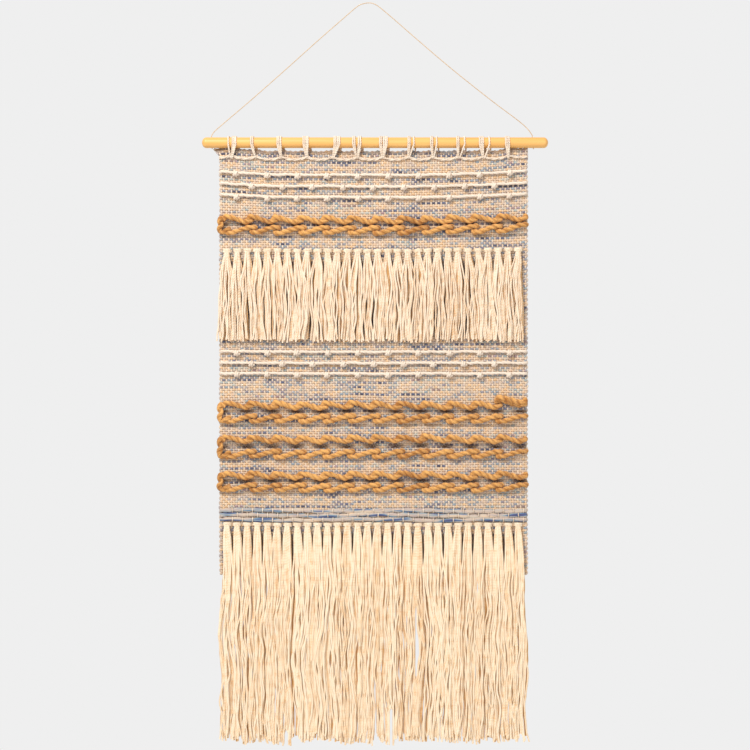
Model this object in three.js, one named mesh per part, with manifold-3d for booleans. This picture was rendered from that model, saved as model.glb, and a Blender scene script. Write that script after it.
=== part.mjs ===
// Fringed tapestry wall hanging: a handwoven panel laced to a wooden rod with yarn loops, two rows of knotted
// tassels, slub rows and thick braided rows on its face, and a cord from end to end of the rod to hang it by.
//
// Millimetres, +Z up. The origin is the underside of the cord at its peak, where the nail carries it. The rod runs
// along X, the face of the cloth looks along -Y, and the wall is on the +Y side.

import * as THREE from "three";
import { mergeVertices } from "three/addons/utils/BufferGeometryUtils.js";
import Module from "manifold-3d";

const wasm = await Module();
wasm.setup();

// ---- driving dimensions -------------------------------------------------------------------------------------------

const GAP = 0.3; // left between pieces that touch

const ROD_LENGTH = 519;
const ROD_RADIUS = 8;
const ROD_MID_X = 9.8;
const ROD_Z = -209; // the rod's axis
const ROD_TOP = ROD_Z + ROD_RADIUS;
const HOLE_RADIUS = 1.5; // the two cord holes, drilled down through the rod
const HOLES_X = { left: -235.6, right: 245.8 };

const CORD_RADIUS = 0.75;
const CORD_KNOT_RADIUS = 2.1;

const PANEL_WIDTH = 462;
const PANEL_MID_X = 7.5;
const PANEL_THICKNESS = 3;
const PANEL_BOTTOM = -857; // the cloth ends behind the lower tassels
const HEM = { top: ROD_Z - 13, bottom: -241.5, back: 2.5 }; // the cloth's folded top edge
const PANEL_TOP = HEM.bottom - GAP;
const FACE_Y = -PANEL_THICKNESS / 2;
const ON_FACE_Y = FACE_Y - GAP; // where a piece that lies on the cloth begins

const LOOP_COUNT = 12;
const LOOP_PITCH = 37.8;
const STITCH_INSET = 5.3; // the row of stitches sits this far left of the middle of the cloth
const LOOP_WIDTH = 6;
const LOOP_THICKNESS = 1.8;
const LOOP_INNER_RADIUS = ROD_RADIUS + GAP;
const LOOP_OUTER_RADIUS = LOOP_INNER_RADIUS + LOOP_THICKNESS;
// How far each loop's wrap sits to the side of the stitch it rises from.
const LOOP_LEAN = [2, -6.5, -4, -2, 7.5, -0.5, 1, 2.5, 0, 1, -2, -2];

const LACING_Z = -233.4;
const LACING_RADIUS = 1.3;
const LACING_SAG = 2.2; // between one stitch and the next

const SLUB_ROWS_Z = [-257.5, -274.5, -291, -522.5, -539.4, -555.2];
const SLUB_RADIUS = 1.6;
const BOBBLE_RADIUS = 3.6;
const BOBBLE_PITCH = 45.5;
const BOBBLE_MARGIN = 23; // from the panel's left edge to the first bobble

const BRAID_BANDS_Z = [
  { upper: -320.7, lower: -337.5 },
  { upper: -602.7, lower: -621.5 },
  { upper: -652.2, lower: -672.5 },
  { upper: -707, lower: -724.2 },
];
const BRAID_RADIUS = 3.2;
const BRAID_PITCH = PANEL_WIDTH / 12;
const BRAID_SWAY = 2.4; // each stitch's rise or fall, either side of its row's line

const ROVING_PICKS_Z = [-761, -767.7, -774.4];
const ROVING = { height: 6.2, thickness: 1.6 };

const TASSEL_COUNT = 30;
const TASSEL_PITCH = 15.04;
const TASSELS_PER_NODE = 6;
const FIRST_TASSEL_X = -211.9;
const KNOT = { width: 11, height: 7.5, depth: 6, bridge: 3.2 };
const FRINGES = [
  { name: "upper", knotZ: -371.4, tipZ: -505.2, thickness: 7, joinDrop: 26 },
  { name: "lower", knotZ: -782, tipZ: -1101.5, thickness: 8, joinDrop: 60 },
];

const PANEL_LEFT = PANEL_MID_X - PANEL_WIDTH / 2;
const PANEL_RIGHT = PANEL_MID_X + PANEL_WIDTH / 2;

// ---- materials ----------------------------------------------------------------------------------------------------

const material = (color, roughness) =>
  new THREE.MeshStandardMaterial({ color, roughness, metalness: 0 });
const WOOD = material(0xf5bf72, 0.5);
const CORD = material(0xe2c49c, 0.85);
const CREAM_YARN = material(0xf3e0c0, 0.9);
const CLOTH = material(0xcfb8a3, 0.95);
const BRAID_YARN = material(0xd29a55, 0.9);
const BLUE_ROVING = material(0x7d8aa6, 0.92);

// ---- tools --------------------------------------------------------------------------------------------------------

// A closed three.js geometry as a manifold-3d solid.
function solid(geometry) {
  const bare = geometry.clone();
  bare.deleteAttribute("normal");
  bare.deleteAttribute("uv");
  const merged = mergeVertices(bare, 1e-4);
  return new wasm.Manifold(
    new wasm.Mesh({
      numProp: 3,
      vertProperties: merged.attributes.position.array,
      triVerts: new Uint32Array(merged.index.array),
    }),
  );
}

// A manifold-3d solid as a three.js geometry.
function geometryOf(made) {
  const mesh = made.getMesh();
  return new THREE.BufferGeometry()
    .setAttribute("position", new THREE.BufferAttribute(mesh.vertProperties, 3))
    .setIndex(new THREE.BufferAttribute(mesh.triVerts, 1));
}

function piece(name, geometry, look, x = 0, y = 0, z = 0) {
  const mesh = new THREE.Mesh(geometry, look);
  mesh.name = name;
  mesh.position.set(x, y, z);
  return mesh;
}

function ellipse(radiusX, radiusY, sides) {
  const points = [];
  for (let i = 0; i < sides; i++) {
    const angle = (2 * Math.PI * (i + 0.5)) / sides;
    points.push(
      new THREE.Vector2(radiusX * Math.cos(angle), radiusY * Math.sin(angle)),
    );
  }
  return new THREE.Shape(points);
}

// A round tube of yarn or cord through the given points.
function tube(points, radius, sides, steps) {
  return new THREE.ExtrudeGeometry(ellipse(radius, radius, sides), {
    steps,
    extrudePath: new THREE.CatmullRomCurve3(points),
    bevelEnabled: false,
  });
}

// A bar of even section from x0 to x1: outline gives (y, z) points, seen along X.
function barAlongX(outline, x0, x1) {
  const geometry = new THREE.ExtrudeGeometry(new THREE.Shape(outline), {
    depth: x1 - x0,
    bevelEnabled: false,
  });
  // Shape (u, v) with depth w becomes (x, y, z) = (w, u, v).
  const toX = new THREE.Matrix4().set(
    0, 0, 1, x0,
    1, 0, 0, 0,
    0, 1, 0, 0,
    0, 0, 0, 1,
  );
  return geometry.applyMatrix4(toX);
}

// A plate whose front outline is drawn in (x, z), running from y0 back to y1.
function plate(shape, y0, y1, curveSegments = 3) {
  const geometry = new THREE.ExtrudeGeometry(shape, {
    depth: y1 - y0,
    bevelEnabled: false,
    curveSegments,
  });
  // Shape (u, v) with depth w becomes (x, y, z) = (u, y1 - w, v).
  const toFront = new THREE.Matrix4().set(
    1, 0, 0, 0,
    0, 0, -1, y1,
    0, 1, 0, 0,
    0, 0, 0, 1,
  );
  return geometry.applyMatrix4(toFront);
}

// The lacing pulls the cloth's top corners up towards the rod, so the rows near the top turn up at their ends.
function rowLift(x, z) {
  const side = (x - PANEL_MID_X) / (PANEL_WIDTH / 2);
  const fade = THREE.MathUtils.clamp((z + 480) / 240, 0, 1);
  return fade * (side > 0 ? 7 * side ** 3 : 4.5 * side ** 4);
}

// ---- rod and cord -------------------------------------------------------------------------------------------------

// A turned wooden dowel with domed ends and one hole near each end for the cord.
function rod() {
  const half = ROD_LENGTH / 2;
  const domeSteps = 6;
  const profile = [];
  for (let i = 0; i <= domeSteps; i++) {
    const angle = (Math.PI / 2) * (i / domeSteps);
    profile.push(
      new THREE.Vector2(
        ROD_RADIUS * Math.sin(angle),
        -half + ROD_RADIUS * (1 - Math.cos(angle)),
      ),
    );
  }
  for (let i = domeSteps; i >= 0; i--) {
    profile.push(new THREE.Vector2(profile[i].x, -profile[i].y));
  }
  const turned = new THREE.LatheGeometry(profile, 24)
    .rotateZ(-Math.PI / 2)
    .translate(ROD_MID_X, 0, ROD_Z);
  const drill = (x) =>
    solid(
      new THREE.CylinderGeometry(HOLE_RADIUS, HOLE_RADIUS, 4 * ROD_RADIUS, 12)
        .rotateX(Math.PI / 2)
        .translate(x, 0, ROD_Z),
    );
  const drilled = solid(turned)
    .subtract(drill(HOLES_X.left))
    .subtract(drill(HOLES_X.right));
  return piece("hanging_rod", geometryOf(drilled), WOOD);
}

// The free run of the cord: out of the left hole, over the nail and back to the right hole.
function hangingCord() {
  const route = [
    [HOLES_X.left, ROD_TOP + GAP],
    [-235, -198],
    [-232.2, -193.6],
    [-227, -188.4],
    [-209.5, -173.4],
    [-175, -144],
    [-124, -99],
    [-74.5, -54.6],
    [-40, -24.5],
    [-17, -4.8],
    [-8, -0.6],
    [0, CORD_RADIUS],
    [8, -0.6],
    [17, -6.1],
    [40, -25.4],
    [73, -54.2],
    [125, -98.4],
    [182.5, -144.2],
    [223, -174.6],
    [237, -186.6],
    [243.2, -194.2],
    [245.4, -198],
    [HOLES_X.right, ROD_TOP + GAP],
  ];
  const points = route.map(([x, z]) => new THREE.Vector3(x, 0, z));
  return piece("hanging_cord", tube(points, CORD_RADIUS, 8, 64), CORD);
}

// The end of the cord inside its hole and the stopper knot that it is tied in under the rod.
function cordKnot(side) {
  const top = 2 * ROD_RADIUS - GAP;
  const knotSteps = 7;
  const profile = [
    new THREE.Vector2(0, -2 * CORD_KNOT_RADIUS - 0.1),
  ];
  for (let i = 1; i < knotSteps; i++) {
    const angle = Math.PI * (i / knotSteps);
    profile.push(
      new THREE.Vector2(
        CORD_KNOT_RADIUS * Math.sin(angle),
        -CORD_KNOT_RADIUS * (1 + Math.cos(angle)) - 0.1,
      ),
    );
  }
  profile.push(new THREE.Vector2(CORD_RADIUS, 0));
  profile.push(new THREE.Vector2(CORD_RADIUS, top));
  profile.push(new THREE.Vector2(0, top));
  const turned = new THREE.LatheGeometry(profile, 10).rotateX(Math.PI / 2);
  return piece(
    side + "_cord_knot",
    turned,
    CORD,
    HOLES_X[side],
    0,
    ROD_Z - ROD_RADIUS,
  );
}

// ---- loops and lacing ---------------------------------------------------------------------------------------------

const stitchX = (i) => PANEL_MID_X - STITCH_INSET + LOOP_PITCH * (i - (LOOP_COUNT - 1) / 2);

// One wrap of lacing yarn round the rod.
function loopWrap(i) {
  const half = LOOP_WIDTH / 2;
  const edge = 0.5;
  const section = [
    [LOOP_INNER_RADIUS, -half],
    [LOOP_OUTER_RADIUS - edge, -half],
    [LOOP_OUTER_RADIUS, -half + edge],
    [LOOP_OUTER_RADIUS, half - edge],
    [LOOP_OUTER_RADIUS - edge, half],
    [LOOP_INNER_RADIUS, half],
    [LOOP_INNER_RADIUS, -half],
  ].map(([r, h]) => new THREE.Vector2(r, h));
  const ring = new THREE.LatheGeometry(section, 16).rotateZ(-Math.PI / 2);
  const number = String(i + 1).padStart(2, "0");
  return piece(
    "rod_loop_" + number,
    ring,
    CREAM_YARN,
    stitchX(i) + LOOP_LEAN[i],
    0,
    ROD_Z,
  );
}

// The lacing yarn on the cloth: one running line on the face, and at each stitch two legs that rise to the wrap,
// one before the cloth and one behind it, joined through the cloth.
function lacingYarn() {
  const lineY = ON_FACE_Y - LACING_RADIUS;
  const backY = HEM.back + GAP + LACING_RADIUS;
  const legTop = ROD_Z - LOOP_OUTER_RADIUS - 0.2;
  const line = [];
  const stepsPerSpan = 3;
  const spans = LOOP_COUNT - 1;
  line.push(new THREE.Vector3(PANEL_LEFT + 3, lineY, LACING_Z + 3));
  for (let k = 0; k <= spans * stepsPerSpan; k++) {
    const x = stitchX(k / stepsPerSpan);
    const sag = LACING_SAG * Math.sin((Math.PI * (k % stepsPerSpan)) / stepsPerSpan);
    line.push(new THREE.Vector3(x, lineY, LACING_Z - sag + rowLift(x, LACING_Z)));
  }
  line.push(new THREE.Vector3(PANEL_RIGHT - 4, lineY, LACING_Z + 6));
  let yarn = solid(tube(line, LACING_RADIUS, 5, line.length));
  for (let i = 0; i < LOOP_COUNT; i++) {
    const x = stitchX(i);
    const z = LACING_Z + rowLift(x, LACING_Z);
    for (const [y, side] of [[lineY, -1], [backY, 1]]) {
      const foot = new THREE.Vector3(x, y, z);
      const head = new THREE.Vector3(x + 0.6 * LOOP_LEAN[i], side * 4.6, legTop);
      const leg = tube([foot, head], LACING_RADIUS, 5, 1);
      yarn = yarn.add(solid(leg));
    }
    yarn = yarn.add(
      solid(
        new THREE.CylinderGeometry(LACING_RADIUS, LACING_RADIUS, backY - lineY, 6)
          .translate(x, (backY + lineY) / 2, z),
      ),
    );
  }
  return piece("lacing_yarn", geometryOf(yarn), CREAM_YARN);
}

// ---- cloth --------------------------------------------------------------------------------------------------------

// The top edge, folded to the back and sewn down, with a stitch hole for each loop of the lacing.
function topHem() {
  const round = 1.4;
  const outline = [
    [FACE_Y, HEM.bottom],
    [HEM.back, HEM.bottom],
    [HEM.back, HEM.top - round],
    [HEM.back - round, HEM.top],
    [FACE_Y + round, HEM.top],
    [FACE_Y, HEM.top - round],
  ].map(([y, z]) => new THREE.Vector2(y, z));
  let hem = solid(barAlongX(outline, PANEL_LEFT, PANEL_RIGHT));
  for (let i = 0; i < LOOP_COUNT; i++) {
    const x = stitchX(i);
    const radius = LACING_RADIUS + GAP;
    const hole = new THREE.CylinderGeometry(radius, radius, 4 * HEM.back, 8)
      .translate(x, 0, LACING_Z + rowLift(x, LACING_Z));
    hem = hem.subtract(solid(hole));
  }
  return piece("top_hem", geometryOf(hem), CLOTH);
}

// The plain-woven ground cloth.
function wovenPanel() {
  const outline = new THREE.Shape();
  outline.moveTo(PANEL_LEFT, PANEL_BOTTOM);
  outline.lineTo(PANEL_RIGHT, PANEL_BOTTOM);
  outline.lineTo(PANEL_RIGHT, PANEL_TOP);
  outline.lineTo(PANEL_LEFT, PANEL_TOP);
  outline.closePath();
  return piece("woven_panel", plate(outline, FACE_Y, -FACE_Y), CLOTH);
}

// A row of thick cream yarn laid on the cloth, drawn up into a bobble at even steps.
function slubRow(index) {
  const z = SLUB_ROWS_Z[index];
  const y = ON_FACE_Y - SLUB_RADIUS;
  const between = index % 3 === 1;
  const first = PANEL_LEFT + BOBBLE_MARGIN + (between ? BOBBLE_PITCH / 2 : 0);
  const line = [];
  const steps = 12;
  for (let k = 0; k <= steps; k++) {
    const x = PANEL_LEFT + 1 + ((PANEL_WIDTH - 2) * k) / steps;
    line.push(new THREE.Vector3(x, y, z + rowLift(x, z)));
  }
  let row = solid(tube(line, SLUB_RADIUS, 5, steps));
  for (let x = first; x < PANEL_RIGHT - BOBBLE_RADIUS; x += BOBBLE_PITCH) {
    const bobble = new THREE.SphereGeometry(BOBBLE_RADIUS, 7, 4)
      .scale(1.2, 0.9, 1)
      .translate(x, ON_FACE_Y - 0.9 * BOBBLE_RADIUS, z - 2 + rowLift(x, z));
    row = row.add(solid(bobble));
  }
  return piece("slub_row_" + (index + 1), geometryOf(row), CREAM_YARN);
}

// One row of a braided band: thick plied yarn in long slanting stitches, falling in the upper row and rising in the
// lower one, so that the two rows close in on each other at the end of each stitch.
function braidRow(band, place) {
  const z = BRAID_BANDS_Z[band][place];
  const y = ON_FACE_Y - BRAID_RADIUS - 0.2;
  const turn = place === "upper" ? 1 : -1;
  const points = [];
  for (let x = PANEL_LEFT + BRAID_RADIUS; x < PANEL_RIGHT; x += BRAID_PITCH) {
    const stops = [
      [0.05, -0.6],
      [0.3, 1],
      [0.8, -0.7],
    ];
    for (const [share, rise] of stops) {
      const at = x + share * BRAID_PITCH;
      if (at > PANEL_RIGHT - BRAID_RADIUS) continue;
      points.push(
        new THREE.Vector3(at, y, z + turn * rise * BRAID_SWAY + rowLift(at, z)),
      );
    }
  }
  return piece(
    "braid_" + (band + 1) + "_" + place,
    tube(points, BRAID_RADIUS, 6, Math.round(points.length * 1.4)),
    BRAID_YARN,
  );
}

// One pick of soft, flat, blue roving in the coarse border above the lower tassels.
function rovingPick(index) {
  const bar = barAlongX(
    ellipse(ROVING.thickness / 2, ROVING.height / 2, 10).getPoints(),
    PANEL_LEFT + 1,
    PANEL_RIGHT - 1,
  );
  return piece(
    "roving_pick_" + (index + 1),
    bar,
    BLUE_ROVING,
    0,
    ON_FACE_Y - ROVING.thickness / 2,
    ROVING_PICKS_Z[index],
  );
}

// ---- fringes ------------------------------------------------------------------------------------------------------

const tasselX = (i) => FIRST_TASSEL_X + i * TASSEL_PITCH;

// A stretch of a fringe's knots: each knot is a bar of yarn across two warp ends, and its neighbours touch it.
function knots(fringe, node) {
  const first = node * TASSELS_PER_NODE;
  const over = [];
  const under = [];
  for (let i = first; i < first + TASSELS_PER_NODE; i++) {
    const x = tasselX(i);
    const z = fringe.knotZ;
    const wide = KNOT.width / 2;
    const high = KNOT.height / 2;
    const thin = KNOT.bridge / 2;
    const left = i === first ? x - wide : x - TASSEL_PITCH / 2;
    const right = i === first + TASSELS_PER_NODE - 1 ? x + wide : x + TASSEL_PITCH / 2;
    over.push([left, z + thin], [x - wide + 1, z + thin], [x - wide + 2, z + high]);
    over.push([x + wide - 2, z + high], [x + wide - 1, z + thin], [right, z + thin]);
    under.push([left, z - thin], [x - wide + 1.5, z - thin], [x - wide + 2.5, z - high]);
    under.push([x + wide - 2.5, z - high], [x + wide - 1.5, z - thin], [right, z - thin]);
  }
  const outline = [...under, ...over.reverse()].map(([x, z]) => new THREE.Vector2(x, z));
  return piece(
    fringe.name + "_knots_" + (node + 1),
    plate(new THREE.Shape(outline), ON_FACE_Y - KNOT.depth, ON_FACE_Y),
    CREAM_YARN,
  );
}

// A stretch of a fringe's tassels: each leaves its own knot, and lower down they hang together as one curtain.
function tassels(fringe, node) {
  const first = node * TASSELS_PER_NODE;
  const left = tasselX(first) - TASSEL_PITCH / 2 + GAP / 2;
  const right = left + TASSELS_PER_NODE * TASSEL_PITCH - GAP;
  const level = fringe.knotZ - KNOT.height / 2 - GAP;
  const radius = fringe.thickness / 2;
  const midY = ON_FACE_Y - radius;

  const front = new THREE.Shape();
  front.moveTo(left, level - fringe.joinDrop);
  for (let i = first; i < first + TASSELS_PER_NODE; i++) {
    const x = tasselX(i);
    const neck = KNOT.width / 2 - 1;
    front.lineTo(x - neck, level - 7);
    front.lineTo(x - neck, level + 2);
    front.lineTo(x + neck, level + 2);
    front.lineTo(x + neck, level - 7);
    front.lineTo(
      Math.min(x + TASSEL_PITCH / 2, right),
      level - fringe.joinDrop,
    );
  }
  for (let i = first + TASSELS_PER_NODE - 1; i >= first; i--) {
    const x = tasselX(i);
    const tip = fringe.tipZ + 3 * Math.sin(2.4 * i);
    front.lineTo(Math.min(x + TASSEL_PITCH / 2, right), tip + 14);
    front.quadraticCurveTo(x, tip - 14, Math.max(x - TASSEL_PITCH / 2, left), tip + 14);
  }
  front.closePath();

  // Seen from the side: round at the top, so that it can swing close under the knots, and thinner at the tips.
  const side = [];
  const roundSteps = 6;
  for (let k = 0; k <= roundSteps; k++) {
    const angle = (Math.PI * k) / roundSteps;
    side.push(
      new THREE.Vector2(
        midY + radius * Math.cos(angle),
        level - radius + radius * Math.sin(angle),
      ),
    );
  }
  side.push(new THREE.Vector2(midY - 0.6 * radius, fringe.tipZ - 20));
  side.push(new THREE.Vector2(midY + 0.6 * radius, fringe.tipZ - 20));

  const body = solid(barAlongX(side, left, right)).intersect(
    solid(plate(front, midY - 2 * radius, midY + 2 * radius, 2)),
  );
  return piece(fringe.name + "_tassels_" + (node + 1), geometryOf(body), CREAM_YARN);
}

// ---- the whole hanging --------------------------------------------------------------------------------------------

const hanging = new THREE.Group();
hanging.add(hangingCord(), rod(), cordKnot("left"), cordKnot("right"));
for (let i = 0; i < LOOP_COUNT; i++) hanging.add(loopWrap(i));
hanging.add(topHem(), wovenPanel(), lacingYarn());
for (let i = 0; i < SLUB_ROWS_Z.length; i++) hanging.add(slubRow(i));
for (let band = 0; band < BRAID_BANDS_Z.length; band++) {
  hanging.add(braidRow(band, "upper"), braidRow(band, "lower"));
}
for (let i = 0; i < ROVING_PICKS_Z.length; i++) hanging.add(rovingPick(i));
for (const fringe of FRINGES) {
  for (let node = 0; node < TASSEL_COUNT / TASSELS_PER_NODE; node++) {
    hanging.add(knots(fringe, node), tassels(fringe, node));
  }
}

export default hanging;
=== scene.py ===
import random
from math import cos, pi, radians, sin

import bpy
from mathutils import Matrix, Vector


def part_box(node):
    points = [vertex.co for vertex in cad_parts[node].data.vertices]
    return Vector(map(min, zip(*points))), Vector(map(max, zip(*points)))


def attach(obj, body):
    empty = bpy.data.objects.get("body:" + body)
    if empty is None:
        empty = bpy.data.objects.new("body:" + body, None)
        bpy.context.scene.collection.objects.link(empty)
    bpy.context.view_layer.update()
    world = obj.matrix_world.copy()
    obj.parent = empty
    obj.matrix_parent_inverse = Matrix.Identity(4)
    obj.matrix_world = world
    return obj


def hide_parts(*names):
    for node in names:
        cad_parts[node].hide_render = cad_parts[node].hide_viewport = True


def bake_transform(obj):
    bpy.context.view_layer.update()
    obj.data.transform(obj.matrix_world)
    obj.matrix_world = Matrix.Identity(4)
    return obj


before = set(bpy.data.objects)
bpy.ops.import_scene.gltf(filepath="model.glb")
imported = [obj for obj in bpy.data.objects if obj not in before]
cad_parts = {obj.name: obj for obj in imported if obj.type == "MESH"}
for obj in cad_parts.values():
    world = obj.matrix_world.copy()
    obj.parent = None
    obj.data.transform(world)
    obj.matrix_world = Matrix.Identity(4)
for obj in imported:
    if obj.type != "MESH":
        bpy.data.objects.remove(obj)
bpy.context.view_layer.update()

# ---- camera, light and floor --------------------------------------------------------------------------
# The hanging is seen square on, from a little over three metres. A large soft light stands high on the
# left and a weaker one low on the right, in a pale room. The floor is a pale disc below the tassels.

camera_data = bpy.data.cameras.new("camera")
camera_data.lens = 100
camera_data.sensor_width = 36
camera = bpy.data.objects.new("camera", camera_data)
camera.location = (0.00975, -3.125, -0.5574)
camera.rotation_euler = (pi / 2, 0, 0)
bpy.context.scene.collection.objects.link(camera)
bpy.context.scene.camera = camera


def soft_light(name, place, aim, size, power, colour):
    lamp = bpy.data.lights.new(name, "AREA")
    lamp.shape = "DISK"
    lamp.size = size
    lamp.energy = power
    lamp.color = colour
    holder = bpy.data.objects.new(name, lamp)
    holder.location = place
    holder.rotation_euler = (Vector(aim) - Vector(place)).to_track_quat("-Z", "Y").to_euler()
    bpy.context.scene.collection.objects.link(holder)


soft_light("key light", (-1.15, -1.9, 1.35), (0, 0, -0.5), 0.5, 66, (1.0, 0.985, 0.96))
soft_light("fill light", (1.6, -2.2, -0.3), (0, 0, -0.6), 1.6, 12, (1.0, 0.99, 0.97))

room = bpy.data.worlds.new("pale room")
room.use_nodes = True
pale = room.node_tree
pale.nodes.clear()
seen = pale.nodes.new("ShaderNodeBackground")
lighting = pale.nodes.new("ShaderNodeBackground")
path = pale.nodes.new("ShaderNodeLightPath")
either = pale.nodes.new("ShaderNodeMixShader")
out = pale.nodes.new("ShaderNodeOutputWorld")
seen.inputs["Color"].default_value = (0.863, 0.863, 0.863, 1)
lighting.inputs["Color"].default_value = (0.66, 0.66, 0.66, 1)
pale.links.new(path.outputs["Is Camera Ray"], either.inputs[0])
pale.links.new(lighting.outputs[0], either.inputs[1])
pale.links.new(seen.outputs[0], either.inputs[2])
pale.links.new(either.outputs[0], out.inputs[0])
bpy.context.scene.world = room
bpy.context.scene.view_settings.view_transform = "Standard"
bpy.context.scene.view_settings.look = "None"

floor_radius, floor_z, floor_sides = 1.15, -1.42, 96
floor_mesh = bpy.data.meshes.new("floor")
rim = []
for k in range(floor_sides):
    a = 2 * pi * k / floor_sides
    rim.append((floor_radius * cos(a), floor_radius * sin(a), floor_z))
floor_mesh.from_pydata(rim, [], [list(range(floor_sides))])
floor = bpy.data.objects.new("floor", floor_mesh)
bpy.context.scene.collection.objects.link(floor)
floor_paint = bpy.data.materials.new("pale floor")
floor_paint.use_nodes = True
floor_shader = floor_paint.node_tree.nodes["Principled BSDF"]
floor_shader.inputs["Base Color"].default_value = (0.82, 0.82, 0.81, 1)
floor_shader.inputs["Roughness"].default_value = 0.8
floor_mesh.materials.append(floor_paint)

# ---- hanging cord -------------------------------------------------------------------------------------
# A thin natural cord of two strands laid together, 1.5 mm thick. It comes up through a hole at each end
# of the rod and runs over the nail in one rounded peak.


class Amount:
    """A value in a draft: plus, minus, times and over on it each place a Math node."""

    def __init__(self, draft, socket):
        self.draft, self.socket = draft, socket

    def __add__(self, other):
        return self.draft.math("ADD", self, other)

    def __sub__(self, other):
        return self.draft.math("SUBTRACT", self, other)

    def __rsub__(self, other):
        return self.draft.math("SUBTRACT", other, self)

    def __mul__(self, other):
        return self.draft.math("MULTIPLY", self, other)

    def __truediv__(self, other):
        return self.draft.math("DIVIDE", self, other)

    def __pow__(self, other):
        return self.draft.math("POWER", self, other)

    def __neg__(self):
        return self * -1.0

    __radd__, __rmul__ = __add__, __mul__


class Draft:
    """A node tree being drawn up, of geometry nodes or of a material, with its sizes as named inputs."""

    def __init__(self, name, tree=None, kind="GeometryNodeTree"):
        self.tree = tree or bpy.data.node_groups.new(name, kind)
        if tree is None:
            self.start = self.tree.nodes.new("NodeGroupInput")
            self.end = self.tree.nodes.new("NodeGroupOutput")

    def takes(self, name, value=None, kind="Float"):
        socket = self.tree.interface.new_socket(name, in_out="INPUT", socket_type="NodeSocket" + kind)
        if value is not None:
            socket.default_value = value
        return Amount(self, self.start.outputs[name])

    def gives(self, name, amount, kind="Geometry"):
        self.tree.interface.new_socket(name, in_out="OUTPUT", socket_type="NodeSocket" + kind)
        self.tree.links.new(amount.socket, self.end.inputs[name])

    def put(self, kind, inputs=None, give=0, **settings):
        node = self.tree.nodes.new(kind)
        for key, value in settings.items():
            setattr(node, key, value)
        for key, value in (inputs or {}).items():
            socket = (
                node.inputs[key]
                if isinstance(key, int)
                else next(s for s in node.inputs if key in (s.identifier, s.name))
            )
            if isinstance(value, Amount):
                self.tree.links.new(value.socket, socket)
            else:
                socket.default_value = value
        return Amount(self, node.outputs[give])

    def math(self, operation, *amounts):
        return self.put("ShaderNodeMath", dict(enumerate(amounts)), operation=operation)

    def clamp(self, amount, low=0.0, high=1.0):
        return self.math("MINIMUM", self.math("MAXIMUM", amount, low), high)

    def vector(self, x=0.0, y=0.0, z=0.0):
        return self.put("ShaderNodeCombineXYZ", {0: x, 1: y, 2: z})

    def xyz(self, vector):
        node = self.tree.nodes.new("ShaderNodeSeparateXYZ")
        self.tree.links.new(vector.socket, node.inputs[0])
        return [Amount(self, output) for output in node.outputs]

    def noise(self, vector, scale, detail=2.0, give="Fac", **settings):
        return self.put(
            "ShaderNodeTexNoise",
            {"Vector": vector, "Scale": scale, "Detail": detail},
            give=give,
            **settings,
        )

    def chance(self, low, high, number, seed):
        """A number between low and high, drawn by lot for each number."""
        return self.put(
            "FunctionNodeRandomValue",
            {"Min_001": low, "Max_001": high, "ID": number, "Seed": seed},
            give=1,
        )

    def group(self, other, inputs, give=0):
        """Another draft, used as one node of this one."""
        geometry = self.tree.bl_idname == "GeometryNodeTree"
        kind = "GeometryNodeGroup" if geometry else "ShaderNodeGroup"
        return self.put(kind, inputs, give, node_tree=other.tree)

    def mix(self, share, one, other):
        """The colour that lies this share of the way from one colour to the other."""
        colours = {"Factor_Float": share, "A_Color": one, "B_Color": other}
        return self.put("ShaderNodeMix", colours, give=2, data_type="RGBA")

    def reads(self, name, give="Fac"):
        """For a material: the value that a mesh carries under this name."""
        return self.put("ShaderNodeAttribute", give=give, attribute_name=name)

    def notes(self, geometry, name, value, **settings):
        """The geometry, carrying a value under this name."""
        inputs = {"Geometry": geometry, "Name": name, "Value": value}
        return self.put("GeometryNodeStoreNamedAttribute", inputs, **settings)

    def moved(self, geometry, place):
        return self.put("GeometryNodeSetPosition", {"Geometry": geometry, "Position": place})

    def finished(self, geometry, material):
        """The geometry as one real mesh, with its material."""
        whole = self.put("GeometryNodeRealizeInstances", {"Geometry": geometry})
        return self.put("GeometryNodeSetMaterial", {"Geometry": whole, "Material": material})


def made(name, draft, sizes=None, line=None):
    """The plain mesh that a draft gives at these sizes, from a line of yarn where it needs one."""
    holder = bpy.data.objects.new(name + " draft", line or bpy.data.meshes.new(name))
    bpy.context.scene.collection.objects.link(holder)
    modifier = holder.modifiers.new("draft", "NODES")
    modifier.node_group = draft.tree
    for item in draft.tree.interface.items_tree:
        if item.in_out == "INPUT" and item.name in (sizes or {}):
            modifier[item.identifier] = sizes[item.name]
    holder.update_tag()
    graph = bpy.context.evaluated_depsgraph_get()
    mesh = bpy.data.meshes.new_from_object(
        holder.evaluated_get(graph), preserve_all_data_layers=True, depsgraph=graph
    )
    mesh.name = name
    bpy.data.objects.remove(holder)
    piece = bpy.data.objects.new(name, mesh)
    bpy.context.scene.collection.objects.link(piece)
    return piece


def yarn_line(name, paths):
    """Straight-sided lines through the points of each path, for yarn to be spun along."""
    line = bpy.data.curves.new(name, "CURVE")
    line.dimensions = "3D"
    for path in paths:
        spline = line.splines.new("POLY")
        spline.points.add(len(path) - 1)
        spline.points.foreach_set("co", [c for point in path for c in (*point, 1.0)])
    return line


def smooth(route, steps=12):
    """A smooth line through the points of a route."""
    ends = [
        [2 * a - b for a, b in zip(route[0], route[1])],
        *route,
        [2 * a - b for a, b in zip(route[-1], route[-2])],
    ]
    points = []
    for a, b, c, d in zip(ends, ends[1:], ends[2:], ends[3:]):
        for k in range(steps):
            t = k / steps
            points.append(
                tuple(
                    q + 0.5 * t * (r - p + t * (2 * p - 5 * q + 4 * r - s + t * (3 * (q - r) + s - p)))
                    for p, q, r, s in zip(a, b, c, d)
                )
            )
    return [*points, tuple(route[-1])]


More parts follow.
